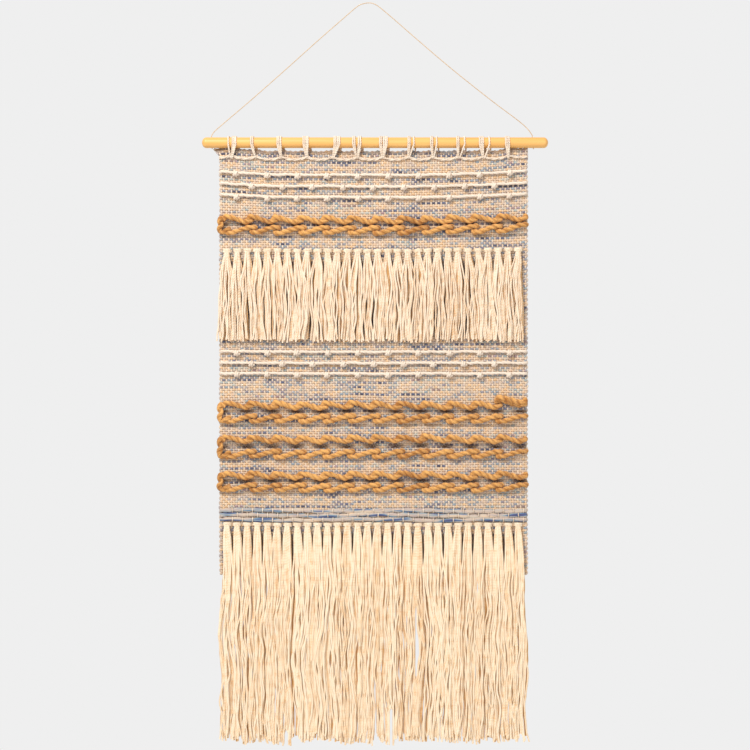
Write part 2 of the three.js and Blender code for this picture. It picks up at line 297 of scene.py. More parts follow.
# Yarn: strands laid round each other along a line, as grooves that wind round it.
spin = Draft("spun yarn")
line = spin.takes("Line", kind="Geometry")
thickness = spin.takes("Radius", 0.001)
lay = spin.takes("Lay", 0.006)
groove = spin.takes("Groove", 0.2)
sides = spin.takes("Sides", 8, "Int")
flatness = spin.takes("Flatness", 1.0)
along = spin.put("GeometryNodeSplineParameter", give="Length")
tone_and_shade = spin.takes("Tone", -1.0)  # below 0, each length of yarn is given its own by lot
lot = spin.chance(0.0, 1.0, spin.put("GeometryNodeInputIndex"), 11)
lot = spin.put("GeometryNodeFieldOnDomain", {"Value": lot}, domain="CURVE", data_type="FLOAT")
by_lot = spin.math("LESS_THAN", tone_and_shade, 0.0)
noted = spin.notes(line, "tone_and_shade", by_lot * lot + (1.0 - by_lot) * tone_and_shade)
noted = spin.notes(noted, "along", along)
wound = spin.put("GeometryNodeSetCurveTilt", {"Curve": noted, "Tilt": along / lay * (2 * pi)})
round_section = spin.put("GeometryNodeCurvePrimitiveCircle", {"Resolution": sides, "Radius": 1.0})
spot = spin.put("GeometryNodeInputPosition")
across, up, _ = spin.xyz(spot)
bulge = 1.0 + groove * spin.math("COSINE", spin.math("ARCTAN2", up, across) * 2.0)
section = spin.notes(round_section, "around", spot, data_type="FLOAT_VECTOR")
section = spin.moved(section, spin.vector(across * bulge * flatness, up * bulge))
spun = spin.put(
    "GeometryNodeCurveToMesh",
    {"Curve": wound, "Profile Curve": section, "Scale": thickness, "Fill Caps": True},
)
spin.gives("Yarn", spin.put("GeometryNodeSetShadeSmooth", {"Geometry": spun}))

laid_yarn = Draft("yarn along a line")
line = laid_yarn.takes("Line", kind="Geometry")
step = laid_yarn.takes("Step", 0.0005)
sizes = {
    "Radius": laid_yarn.takes("Radius", 0.001),
    "Lay": laid_yarn.takes("Lay", 0.006),
    "Groove": laid_yarn.takes("Groove", 0.2),
    "Sides": laid_yarn.takes("Sides", 8, "Int"),
}
finish = laid_yarn.takes("Material", kind="Material")
line = laid_yarn.put("GeometryNodeResampleCurve", {"Curve": line, "Length": step}, mode="LENGTH")
spun = laid_yarn.group(spin, {"Line": line, **sizes}, "Yarn")
laid_yarn.gives("Yarn", laid_yarn.finished(spun, finish))

# Fibre: the fine fuzz of a yarn, the groove between its two strands, where yarn_finish paints shade, and a
# soft mottling of its dye. Lay is for a yarn whose mesh isn't wound itself.
fibre = Draft("fibre", kind="ShaderNodeTree")
size = fibre.takes("Size", 0.0006)
lay = fibre.takes("Lay", 1000.0)
where = fibre.put("ShaderNodeTexCoord", give="Object")
fuzz = fibre.noise(where, fibre.math("DIVIDE", 1.0, size), 3.0)
mottle = fibre.noise(where, fibre.math("DIVIDE", 0.06, size), 2.0)
along = fibre.reads("along")
across, up, _ = fibre.xyz(fibre.reads("around", "Vector"))
turned = along / lay * (2 * pi)
strand = across * fibre.math("COSINE", turned) + up * fibre.math("SINE", turned)
strand = fibre.math("ABSOLUTE", strand)
streak = fibre.noise(fibre.vector(across * 5.0, up * 5.0, along * 110.0), 1.0, 3.0)
fibre.gives("Streak", streak, "Float")
fibre.gives("Fuzz", fuzz, "Float")
fibre.gives("Strand", strand, "Float")
fibre.gives("Mottle", mottle, "Float")
fibre.gives("Tone", fibre.reads("tone_and_shade"), "Float")


def yarn_finish(
    name,
    dark,
    pale,
    fuzz_size=0.0006,
    tones=0.5,
    bump=0.5,
    sheen=0.15,
    colour=None,
    lay=1000.0,
    streaks=0.6,
    plies=0.7,
):
    """A fuzzy yarn, mottled from dark to pale, with painted shade in the groove between its strands."""
    finish = bpy.data.materials.new(name)
    finish.use_nodes = True
    nodes = Draft(name, tree=finish.node_tree)
    shader = finish.node_tree.nodes["Principled BSDF"]
    shader.inputs["Roughness"].default_value = 0.88
    shader.inputs["Specular IOR Level"].default_value = 0.2
    shader.inputs["Sheen Weight"].default_value = sheen
    shader.inputs["Sheen Roughness"].default_value = 0.6
    fuzz = nodes.group(fibre, {"Size": fuzz_size, "Lay": lay}, "Fuzz")
    strand, mottle, tone_and_shade, streak = [
        Amount(nodes, fuzz.socket.node.outputs[part]) for part in ("Strand", "Mottle", "Tone", "Streak")
    ]
    # The strand term is painted shade: darker in the groove between the strands.
    shade = (mottle - 0.5) * 1.3 + (fuzz - 0.5) * 0.5 + (strand - 0.75) * plies + (tone_and_shade - 0.5) * tones
    shade = nodes.clamp(shade + (streak - 0.5) * streaks + 0.6)
    mixed = nodes.mix(shade, (*dark, 1), (*pale, 1))
    if colour:
        mixed = colour(nodes, mixed, shade)
    height = fuzz * 0.5 + strand * (plies / 0.7) + streak * streaks
    bumped = nodes.put("ShaderNodeBump", {"Height": height, "Strength": bump, "Distance": fuzz_size})
    finish.node_tree.links.new(mixed.socket, shader.inputs["Base Color"])
    finish.node_tree.links.new(bumped.socket, shader.inputs["Normal"])
    return finish


cord_route = [
    (-0.23565, 0, -0.2007),
    (-0.235, 0, -0.198),
    (-0.2322, 0, -0.1936),
    (-0.227, 0, -0.1884),
    (-0.2095, 0, -0.1734),
    (-0.175, 0, -0.144),
    (-0.124, 0, -0.099),
    (-0.0745, 0, -0.0546),
    (-0.04, 0, -0.0245),
    (-0.017, 0, -0.0048),
    (-0.008, 0, -0.0006),
    (0, 0, 0.00075),
    (0.008, 0, -0.0006),
    (0.017, 0, -0.0061),
    (0.04, 0, -0.0254),
    (0.073, 0, -0.0542),
    (0.125, 0, -0.0984),
    (0.1825, 0, -0.1442),
    (0.223, 0, -0.1746),
    (0.237, 0, -0.1866),
    (0.2432, 0, -0.1942),
    (0.2454, 0, -0.198),
    (0.24585, 0, -0.2007),
]
cord_path = smooth(cord_route)
cord_finish = yarn_finish("natural cord", (0.52, 0.33, 0.17), (0.78, 0.58, 0.38), 0.0003)
cord_size = {"Lay": 0.0056, "Groove": 0.14, "Material": cord_finish}
cord = made(
    "hanging_cord_yarn",
    laid_yarn,
    {**cord_size, "Radius": 0.00066, "Sides": 8, "Step": 0.0007},
    yarn_line("cord", [cord_path]),
)
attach(cord, "cord")
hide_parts("hanging_cord")

# ---- cord knots ---------------------------------------------------------------------------------------
# The two ends of the cord pass down through the rod. Each is tied below it in an overhand knot with a
# short tail.


def overhand(x, top, middle, size):
    """A cord that comes down at x, ties an overhand knot and ends in a short tail."""
    path = [(x, 0, top), (x, 0, 0.5 * (top + middle))]
    for k in range(22):
        a = 2 * pi * (k + 4) / 24
        radius = size * (1.1 + 0.5 * cos(1.5 * a * 2))
        path.append(
            (x + radius * sin(2 * a), size * 0.55 * sin(3 * a), middle + 0.8 * radius * cos(2 * a))
        )
    return [*path, (x + 0.0012, -0.0006, middle - 0.004), (x + 0.0016, -0.0008, middle - 0.0075)]


holes_x = (cord_path[0][0], cord_path[-1][0])
for node, x in zip(("left_cord_knot", "right_cord_knot"), holes_x):
    low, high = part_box(node)
    knot_path = overhand(x, -0.2012, 0.5 * (low[2] + high[2]), 0.0013)
    knot = made(
        node + "_yarn",
        laid_yarn,
        {**cord_size, "Radius": 0.00062, "Sides": 10, "Step": 0.0004},
        yarn_line(node, [smooth(knot_path, 4)]),
    )
    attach(knot, "rod")
    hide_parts(node)

# ---- rod ----------------------------------------------------------------------------------------------
# A turned dowel of pale golden wood, 16 mm thick, with rounded ends. A small hole is drilled down through
# it near each end for the cord. Its grain runs along it.

rod_low, rod_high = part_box("hanging_rod")
rod_radius = 0.5 * (rod_high[2] - rod_low[2])
rod_z = 0.5 * (rod_high[2] + rod_low[2])
rod_half = 0.5 * (rod_high[0] - rod_low[0])
rod_middle = 0.5 * (rod_high[0] + rod_low[0])
hole_radius, around_hole = 0.0015, 24
around_rod, over_end, end_length = 96, 10, 0.0065


def rod_outline():
    """The rod's stations: how far along it, and how thick there. Each end is a flattened half ball."""
    left = [
        (-rod_half + end_length * (1 - cos(a)), rod_radius * sin(a))
        for a in (0.5 * pi * k / over_end for k in range(1, over_end + 1))
    ]
    return [*left, *((-x, r) for x, r in reversed(left))]


rod_points = [(rod_middle - rod_half, 0, rod_z)]
for x, r in rod_outline():
    for k in range(around_rod):
        a = 2 * pi * k / around_rod
        rod_points.append((rod_middle + x, r * cos(a), rod_z + r * sin(a)))
rod_points.append((rod_middle + rod_half, 0, rod_z))
rings = len(rod_outline())
rod_faces = []
for k in range(around_rod):
    n = (k + 1) % around_rod
    rod_faces.append((0, 1 + n, 1 + k))
    last = 1 + (rings - 1) * around_rod
    rod_faces.append((len(rod_points) - 1, last + k, last + n))
    for ring in range(rings - 1):
        a, b = 1 + ring * around_rod, 1 + (ring + 1) * around_rod
        rod_faces.append((a + k, a + n, b + n, b + k))
rod_mesh = bpy.data.meshes.new("rod_wood")
rod_mesh.from_pydata(rod_points, [], rod_faces)
rod = bpy.data.objects.new("rod_wood", rod_mesh)
bpy.context.scene.collection.objects.link(rod)
drills = []
for x in holes_x:
    drill_points = []
    for z in (rod_z - 0.02, rod_z + 0.02):
        for k in range(around_hole):
            a = 2 * pi * k / around_hole
            drill_points.append((x + hole_radius * cos(a), hole_radius * sin(a), z))
    drill_faces = [tuple(range(around_hole - 1, -1, -1)), tuple(range(around_hole, 2 * around_hole))]
    for k in range(around_hole):
        n = (k + 1) % around_hole
        drill_faces.append((k, n, around_hole + n, around_hole + k))
    drill_mesh = bpy.data.meshes.new("drill")
    drill_mesh.from_pydata(drill_points, [], drill_faces)
    drill = bpy.data.objects.new("drill", drill_mesh)
    bpy.context.scene.collection.objects.link(drill)
    bore = rod.modifiers.new("bore", "BOOLEAN")
    bore.operation = "DIFFERENCE"
    bore.solver = "EXACT"
    bore.object = drill
    drills.append(drill)
graph = bpy.context.evaluated_depsgraph_get()
bored = bpy.data.meshes.new_from_object(rod.evaluated_get(graph), depsgraph=graph)
rod.modifiers.clear()
rod.data = bored
for drill in drills:
    bpy.data.objects.remove(drill)
bored.polygons.foreach_set("use_smooth", [True] * len(bored.polygons))
bored.set_sharp_from_angle(angle=radians(40))

wood = bpy.data.materials.new("golden wood")
wood.use_nodes = True
nodes = Draft("golden wood", tree=wood.node_tree)
x, y, z = nodes.xyz(nodes.put("ShaderNodeTexCoord", give="Object"))
grain_place = nodes.vector(x * 9.0, y * 210.0, z * 210.0)
grain = nodes.noise(grain_place, 1.0, 4.0)
streaks = nodes.noise(nodes.vector(x * 2.0, y * 60.0, z * 60.0), 1.0, 1.0)
shade = nodes.clamp((grain - 0.5) * 1.6 + (streaks - 0.5) * 1.0 + 0.5)
colour = nodes.mix(shade, (0.80, 0.39, 0.10, 1), (0.92, 0.53, 0.17, 1))
ridges = nodes.put("ShaderNodeBump", {"Height": grain, "Strength": 0.12, "Distance": 0.0004})
shader = wood.node_tree.nodes["Principled BSDF"]
shader.inputs["Roughness"].default_value = 0.42
wood.node_tree.links.new(colour.socket, shader.inputs["Base Color"])
wood.node_tree.links.new(ridges.socket, shader.inputs["Normal"])
bored.materials.clear()
bored.materials.append(wood)
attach(rod, "rod")
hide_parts("hanging_rod")

# ---- cloth --------------------------------------------------------------------------------------------
# A plain weave of thick soft yarn: 120 cream warp ends, and 183 picks of a weft dyed in soft patches of
# tan, pink, lilac, blue and grey. Its top is folded to the back as a hem. A thin layer between the yarns
# backs them and stops light through the cloth; its dark brown is painted shade, seen between the yarns.
# Painted shade darkens the cloth in rows under the braided bands, the slub rows and the rod, in the gap
# inside each band, and behind each fringe.

panel_low, panel_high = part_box("woven_panel")
hem_low, hem_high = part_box("top_hem")
cloth_left, cloth_right = panel_low[0] + 0.0008, panel_high[0] - 0.0008
cloth_middle = 0.5 * (cloth_left + cloth_right)
cloth_width = cloth_right - cloth_left
cloth_bottom, cloth_top = panel_low[2], hem_high[2]
fold_radius = 0.0016
fold_start = cloth_top - fold_radius
hem_depth = 0.017
flat_top = fold_start + pi * fold_radius + hem_depth
ends = 120
end_pitch = cloth_width / ends
picks = 183
pick_pitch = (flat_top - cloth_bottom) / picks
stitch_pitch = 0.0378
first_stitch = 0.0022 - 5.5 * stitch_pitch

# How the cloth lies: where a spot on the flat cloth, in front of it or behind it, comes to be when it
# hangs.
lie = Draft("lie of the cloth")
flat = lie.takes("Flat", kind="Vector")
x, depth, z = lie.xyz(flat)
side = lie.clamp((x - cloth_middle) / (0.5 * cloth_width), -1.0, 1.0)
right_side = lie.math("MAXIMUM", side, 0.0)
left_side = lie.math("MAXIMUM", -side, 0.0)
right_lift, right_from, right_over = 0.007, -0.48, 0.24
left_lift, left_from, left_over = 0.0048, -0.345, 0.06
upper_right = lie.clamp((z - right_from) / right_over)
upper_left = lie.clamp((z - left_from) / left_over)
under_rod = lie.clamp((cloth_top + 0.001 - z) / 0.03, 0.35, 1.0)
lift = right_side**3 * right_lift * upper_right + left_side**4 * left_lift * upper_left
lift = lift * under_rod
near_top = lie.clamp((z - (cloth_top - 0.03)) / 0.03)
hug = lie.clamp((left_side - 0.72) / 0.14) + lie.clamp((right_side - 0.80) / 0.12)
lift = lift + hug * near_top * near_top * 0.0026
scallop = lie.math("COSINE", (x - first_stitch) * (2 * pi / stitch_pitch)) * 0.0008 - 0.0008
scallop = scallop * near_top * near_top
sag = (lie.noise(lie.vector(x * 9.0, 0.0, z * 7.0), 1.0, 1.0) - 0.5) * 0.0036
fold_angle = lie.clamp((z - fold_start) / fold_radius, 0.0, pi)
out_from_fold = fold_radius - depth
behind = fold_radius - out_from_fold * lie.math("COSINE", fold_angle)
high = lie.math("MINIMUM", z, fold_start) + out_from_fold * lie.math("SINE", fold_angle)
high = high - lie.math("MAXIMUM", z - (fold_start + pi * fold_radius), 0.0)
calm = lie.clamp((cloth_top - 0.012 - z) / 0.05)
wave = lie.noise(lie.vector(x * 7.0, 4.0, z * 5.0), 1.0, 1.0) - 0.5
ripple = lie.noise(lie.vector(x * 26.0, 9.0, z * 18.0), 1.0, 1.0) - 0.5
buckle = (wave * 0.007 + ripple * 0.0016) * calm
edge = lie.noise(lie.vector(0.0, side, z * 22.0), 1.0, 2.0) - 0.5
wander = edge * lie.math("ABSOLUTE", side) ** 6 * lie.math("SIGN", side) * 0.004
# The left top corner sticks out as a small ear, and curls to the back.
ear_width, ear_height = 0.014, 0.009
ear_out, ear_back, ear_up = 0.0095, 0.0068, 0.0012
corner = lie.clamp((cloth_left + ear_width - x) / ear_width) ** 2
corner = corner * lie.clamp((high - cloth_top + ear_height) / ear_height)
lie.gives(
    "Lie",
    lie.vector(
        x + wander - corner * ear_out,
        behind + buckle + corner * ear_back,
        high + lift + scallop + sag * calm + corner * ear_up,
    ),
    "Vector",
)


# Painted shade on the cloth, in rows: one or two in the gap inside each braided band, one tight under each
# band and each slub row for the shadow each casts, and one along the fold at the top for the rod's shadow.
# Each has its height, half its own thickness, and how dark it is.
painted_shade_rows = [(z, 0.0022, 0.42) for z in (-0.3500, -0.6335, -0.6850, -0.7352)]
painted_shade_rows += [(z, 0.0020, 0.2) for z in (-0.2625, -0.2795, -0.2957, -0.5273, -0.5442, -0.5600)]
painted_shade_rows += [(fold_start + 0.0006, 0.0034, 0.62)]
gaps_z = [-0.3322, -0.6124, -0.6641, -0.7166]
stitches_each = 12
stitch_length = (cloth_width - 0.012) / stitches_each
fringed = [(-0.384, -0.497), (-0.793, -0.870)]
painted_shade_draft = Draft("painted shade rows", kind="ShaderNodeTree")
height = painted_shade_draft.takes("Height", 0.0)
across = painted_shade_draft.takes("Across", 0.0)
depth = painted_shade_draft.clamp(0.0)
for z, half_height, strength in painted_shade_rows:
    near = painted_shade_draft.clamp(1.0 - ((height - z) / half_height) ** 2) * strength
    depth = painted_shade_draft.math("MAXIMUM", depth, near)
# Painted shade in the gap inside each braided band, stronger and weaker along each stitch.
gap_half = 0.0042
closed = painted_shade_draft.math("COSINE", (across - cloth_left - 0.0015) * (2 * pi / stitch_length)) * 0.33 + 0.62
for z in gaps_z:
    near = painted_shade_draft.clamp(1.0 - ((height - z) / gap_half) ** 2) * closed
    depth = painted_shade_draft.math("MAXIMUM", depth, near)
broken = painted_shade_draft.noise(painted_shade_draft.vector(across * 60.0, height * 300.0), 1.0, 1.0)
depth = depth * (broken * 0.8 + 0.65)
# Painted shade: the face of the cloth behind each fringe is painted dark brown for the shade of its
# tassels.
inside = painted_shade_draft.clamp((0.5 * cloth_width - 0.007 - painted_shade_draft.math("ABSOLUTE", across - cloth_middle)) / 0.004)
face = painted_shade_draft.clamp(painted_shade_draft.reads("front") * 3.0)
for top, bottom in fringed:
    fringe_shade = painted_shade_draft.clamp((top - height) / 0.006) * painted_shade_draft.clamp((height - bottom) / 0.006)
    depth = painted_shade_draft.math("MAXIMUM", depth, fringe_shade * inside * face * 0.78)
painted_shade_draft.gives("Dark", painted_shade_draft.clamp(depth), "Float")


def with_painted_shade(nodes, colour, height, across):
    """The colour of a yarn of the cloth, with painted shade in the shade rows, in the gap inside each
    braided band and behind each fringe.
    """
    dark = nodes.group(painted_shade_draft, {"Height": height, "Across": across}, "Dark")
    return nodes.mix(dark, colour, (0.075, 0.035, 0.018, 1))


def warp_with_painted_shade(nodes, mixed, shade):
    """The warp's own colour, with painted shade where it crosses the shade rows and behind each fringe."""
    row, along = nodes.reads("row"), nodes.reads("along")
    return with_painted_shade(nodes, mixed, along + cloth_bottom, row * end_pitch + cloth_left)


def dye_colours(nodes, dye, first, last, between):
    """A ramp of colours, from the first to the last, by way of the ones between."""
    ramp = nodes.put("ShaderNodeValToRGB", {"Fac": dye})
    stops = ramp.socket.node.color_ramp
    stops.elements[0].color = (*first, 1)
    stops.elements[1].color = (*last, 1)
    for place, colour in between:
        stops.elements.new(place).color = (*colour, 1)
    return ramp


def weft_dye_and_shade(nodes, mixed, shade):
    """The weft's dye: streaks of colour a few centimetres long and a pick or two high, with the cloth's
    painted shade mixed in.
    """
    row, along = nodes.reads("row"), nodes.reads("along")
    long_patch = nodes.noise(nodes.vector(along * 8.0, row * 0.62, 0.0), 1.0, 1.0)
    short_patch = nodes.noise(nodes.vector(along * 60.0, row * 1.7, 5.0), 1.0, 0.0)
    dye = nodes.clamp((long_patch - 0.5) * 1.7 + (short_patch - 0.5) * 0.9 + 0.49)
    between = (
        (0.13, (0.15, 0.17, 0.26)),
        (0.23, (0.36, 0.30, 0.32)),
        (0.32, (0.33, 0.39, 0.44)),
        (0.40, (0.58, 0.47, 0.42)),
        (0.49, (0.76, 0.56, 0.39)),
        (0.57, (0.86, 0.57, 0.32)),
        (0.66, (0.78, 0.58, 0.44)),
        (0.75, (0.60, 0.57, 0.49)),
        (0.85, (0.34, 0.41, 0.44)),
        (0.93, (0.48, 0.33, 0.35)),
    )
    ramp = dye_colours(nodes, dye, (0.10, 0.10, 0.15), (0.36, 0.26, 0.23), between)
    dyed = nodes.mix(0.75 + shade * 0.27, (0, 0, 0, 1), ramp)
    height = row * pick_pitch + (cloth_bottom + 0.5 * pick_pitch)
    # The cloth's painted shade is mixed into the weft's dye here.
    return with_painted_shade(nodes, dyed, height, along + cloth_left)


weft_finish = yarn_finish("variegated weft", (0, 0, 0), (1, 1, 1), 0.0005, 0.2, 0.35, 0.1, weft_dye_and_shade, 0.009)
warp_finish = yarn_finish(
    "cream warp", (0.66, 0.50, 0.36), (0.90, 0.76, 0.60), 0.0004, 0.6, 0.35, colour=warp_with_painted_shade, lay=0.007
)

# One set of the cloth's yarns: straight lines side by side, bent over and under the yarns that cross
# them.
woven = Draft("woven yarns")
first = woven.takes("First", 0, "Int")
count = woven.takes("Count", 60, "Int")
pitch = woven.takes("Pitch", 0.004)
crossings = woven.takes("Crossings", 120, "Int")
cross_pitch = woven.takes("Cross pitch", 0.004)
upright = woven.takes("Upright", 0.0)  # 0 for the weft, 1 for the warp
rise = woven.takes("Rise", 0.0008)
half_width = woven.takes("Half width", 0.0016)
sides = woven.takes("Sides", 5, "Int")
finish = woven.takes("Material", kind="Material")
straight = woven.put(
    "GeometryNodeCurvePrimitiveLine",
    {"Start": woven.vector(), "End": woven.vector(crossings * cross_pitch)},
)
straight = woven.put(
    "GeometryNodeResampleCurve", {"Curve": straight, "Count": crossings * 2.0 + 1.0}, mode="COUNT"
)
places = woven.put(
    "GeometryNodeMeshLine",
    {"Count": count, "Start Location": woven.vector(), "Offset": woven.vector(0.0, 0.0, pitch)},
)
rows = woven.put("GeometryNodeInstanceOnPoints", {"Points": places, "Instance": straight})
number = woven.put("GeometryNodeInputIndex") + first
rows = woven.notes(rows, "row", number, domain="INSTANCE")
rows = woven.put("GeometryNodeRealizeInstances", {"Geometry": rows})
number = woven.put("GeometryNodeInputNamedAttribute", {"Name": "row"})
along, _, _ = woven.xyz(woven.put("GeometryNodeInputPosition"))
crossing = along / cross_pitch - 0.5
slack = (woven.noise(woven.vector(along * 45.0, number * 3.7, upright), 1.0, 1.0) - 0.5) * 0.0011
depth = woven.math("COSINE", (crossing + number) * pi) * rise * (upright * 2.0 - 1.0)
down = (number + 0.5) * pitch + slack
weft_place = woven.vector(along + cloth_left, depth, down + cloth_bottom)
warp_place = woven.vector(down + cloth_left, depth, along + cloth_bottom)
flat_place = woven.put(
    "ShaderNodeMix",
    {"Factor_Float": upright, "A_Vector": weft_place, "B_Vector": warp_place},
    give=1,
    data_type="VECTOR",
)
rows = woven.notes(rows, "along", along)
rows = woven.moved(rows, woven.group(lie, {"Flat": flat_place}, "Lie"))
along = woven.put("GeometryNodeInputNamedAttribute", {"Name": "along"})
rows = woven.notes(rows, "tone_and_shade", woven.chance(0.0, 1.0, number, 3))
slub = woven.noise(woven.vector(along * 60.0, number * 5.3, upright), 1.0, 1.0) * 0.5 + 0.75
ring = woven.put("GeometryNodeCurvePrimitiveCircle", {"Resolution": sides, "Radius": 1.0})
spot = woven.put("GeometryNodeInputPosition")
across, up, _ = woven.xyz(spot)
ring = woven.notes(ring, "around", spot, data_type="FLOAT_VECTOR")
ring = woven.moved(ring, woven.vector(across * half_width, up * half_width * 0.62))
broad_way = woven.vector(upright, 0.0, 1.0 - upright)
rows = woven.put("GeometryNodeSetCurveNormal", {"Curve": rows, "Normal": broad_way}, mode="FREE")
yarns = woven.put(
    "GeometryNodeCurveToMesh",
    {"Curve": rows, "Profile Curve": ring, "Scale": slub, "Fill Caps": True},
)
_, facing, _ = woven.xyz(woven.put("GeometryNodeInputNormal"))
yarns = woven.notes(yarns, "front", -facing)
yarns = woven.put("GeometryNodeSetShadeSmooth", {"Geometry": yarns})
woven.gives("Yarns", woven.finished(yarns, finish))

cloth_yarns = []
for part in range(3):
    cloth_yarns.append(
        made(
            f"weft_{part + 1}",
            woven,
            {
                "First": part * picks // 3,
                "Count": picks // 3,
                "Pitch": pick_pitch,
                "Crossings": ends,
                "Cross pitch": end_pitch,
                "Upright": 0.0,
                "Rise": 0.0008,
                "Half width": 0.0018,
                "Sides": 5,
                "Material": weft_finish,
            },
        )
    )
for part in range(2):
    cloth_yarns.append(
        made(
            f"warp_{part + 1}",
            woven,
            {
                "First": part * ends // 2,
                "Count": ends // 2,
                "Pitch": end_pitch,
                "Crossings": picks,
                "Cross pitch": pick_pitch,
                "Upright": 1.0,
                "Rise": 0.0008,
                "Half width": 0.00128,
                "Sides": 4,
                "Material": warp_finish,
            },
        )
    )

backing_draft = Draft("backing")
material = backing_draft.takes("Material", kind="Material")
grid = backing_draft.put(
    "GeometryNodeMeshGrid",
    {
        "Size X": cloth_width - 0.002,
        "Size Y": flat_top - cloth_bottom - 0.004,
        "Vertices X": 60,
        "Vertices Y": 130,
    },
)
x, y, _ = backing_draft.xyz(backing_draft.put("GeometryNodeInputPosition"))
flat_place = backing_draft.vector(x + cloth_middle, 0.0, y + 0.5 * (flat_top + cloth_bottom))
grid = backing_draft.moved(grid, backing_draft.group(lie, {"Flat": flat_place}, "Lie"))
grid = backing_draft.put("GeometryNodeSetShadeSmooth", {"Geometry": grid})
backing_draft.gives("Sheet", backing_draft.finished(grid, material))
# The backing's dark brown is painted shade, for the shadow seen between the yarns.
backing_shade_finish = yarn_finish("cloth backing painted shade", (0.42, 0.31, 0.23), (0.55, 0.42, 0.32), 0.0006)
backing = made("cloth_backing", backing_draft, {"Material": backing_shade_finish})
thick = backing.modifiers.new("thickness", "SOLIDIFY")
thick.thickness = 0.0006
thick.offset = 0
for piece in (backing, *cloth_yarns):
    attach(piece, "panel")
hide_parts("woven_panel", "top_hem")


# ---- selvedges ----------------------------------------------------------------------------------------
# At each edge of the cloth the weft turns round the last warp end and goes back as the next pick.

# Yarn that lies on the cloth: its line is given on the flat cloth, and hangs as the cloth does.
on_cloth = Draft("yarn on the cloth")
line = on_cloth.takes("Line", kind="Geometry")
step = on_cloth.takes("Step", 0.0008)
radius = on_cloth.takes("Radius", 0.001)
uneven = on_cloth.takes("Uneven", 0.2)
pinch = on_cloth.takes("Pinch", 0.0)
pinch_pitch = on_cloth.takes("Pinch pitch", 0.015)
pinch_start = on_cloth.takes("Pinch start", 0.0)
sizes = {
    "Lay": on_cloth.takes("Lay", 0.006),
    "Groove": on_cloth.takes("Groove", 0.2),
    "Sides": on_cloth.takes("Sides", 8, "Int"),
    "Flatness": on_cloth.takes("Flatness", 1.0),
}
finish = on_cloth.takes("Material", kind="Material")
line = on_cloth.put("GeometryNodeResampleCurve", {"Curve": line, "Length": step}, mode="LENGTH")
spot = on_cloth.put("GeometryNodeInputPosition")
line = on_cloth.moved(line, on_cloth.group(lie, {"Flat": spot}, "Lie"))
across, _, _ = on_cloth.xyz(spot)
tied = on_cloth.math("COSINE", (across - pinch_start) * pi / pinch_pitch)
swell = 1.0 + uneven * (on_cloth.noise(spot, 110.0, 1.0) - 0.5) * 2.0 - pinch * tied**8
spun = on_cloth.group(spin, {"Line": line, "Radius": radius * swell, **sizes}, "Yarn")
on_cloth.gives("Yarn", on_cloth.finished(spun, finish))

turns = []
for row in range(picks - 1):
    edge, way = (cloth_left, -1) if row % 2 else (cloth_right, 1)
    z = cloth_bottom + (row + 0.5) * pick_pitch
    turns.append(
        [
            (edge - way * 0.002, 0.0004, z),
            (edge + way * 0.0001, 0.0002, z),
            (edge + way * 0.0006, 0.0, z + 0.5 * pick_pitch),
            (edge + way * 0.0001, -0.0002, z + pick_pitch),
            (edge - way * 0.002, -0.0004, z + pick_pitch),
        ]
    )
selvedge_finish = yarn_finish("selvedge weft", (0.50, 0.42, 0.40), (0.88, 0.70, 0.52), 0.0005, 1.2)
selvedges = made(
    "selvedges",
    on_cloth,
    {"Radius": 0.0012, "Lay": 0.008, "Groove": 0.0, "Sides": 5, "Material": selvedge_finish},
    yarn_line("selvedges", turns),
)
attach(selvedges, "panel")

# ---- lacing -------------------------------------------------------------------------------------------
# Two cream strands run along the top of the cloth. At each of twelve stitches some strands rise over the
# rod and come down behind it to the back of the cloth.

cream = yarn_finish("cream yarn", (0.72, 0.54, 0.39), (0.93, 0.80, 0.66), 0.0005, 0.7)
by_hand = random.Random(12)
lacing_z = -0.2334
face_y = -0.0026
lacing_size = {"Lay": 0.007, "Groove": 0.1, "Sides": 10, "Material": cream}


def running_strand(turned):
    """One of the two running strands: it winds round the other, and each stitch pulls it up."""
    path = []
    for k in range(95):
        x = cloth_left + 0.0006 + k * (cloth_width - 0.0012) / 94
        twist = pi * x / 0.011 + turned
        near = cos(pi * (x - first_stitch) / stitch_pitch) ** 2
        z = lacing_z - 0.0010 * (1 - near) + 0.0024 * near**6
        path.append((x, face_y - 0.0009 + 0.0007 * sin(twist), z + 0.00105 * cos(twist)))
    left, right = (cloth_left - 0.0005, 0.0022, path[0][2]), (cloth_right + 0.0005, 0.0022, path[-1][2])
    return smooth([left, *path, right], 3)


lacing = made(
    "lacing_running_strands",
    on_cloth,
    {**lacing_size, "Radius": 0.00125, "Uneven": 0.15},
    yarn_line("lacing", [running_strand(0), running_strand(pi)]),
)
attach(lacing, "panel")
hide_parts("lacing_yarn")

# How far to the side of its stitch each strand lies where it goes over the rod, in millimetres.
wraps = [
    (-4.2, 2.2, 4.6, 6.8),
    (-8.0, -5.4),
    (-6.4, -4.0, -1.4),
    (-5.4, -3.0, -0.6, 1.6),
    (3.4, 5.8, 8.6, 11.0),
    (-6.6, -4.0, 1.8, 4.8),
    (-4.2, -1.8, 1.6, 4.2, 6.6),
    (0.6, 3.2, 9.0),
    (-3.4, -0.9, 5.2),
    (-2.0, 0.6, 9.4),
    (-6.0, -3.4, -0.8, 8.6),
    (-4.8, -2.4, 0.2),
]
strand_radius = 0.00128
reach = rod_radius + 0.75 * strand_radius


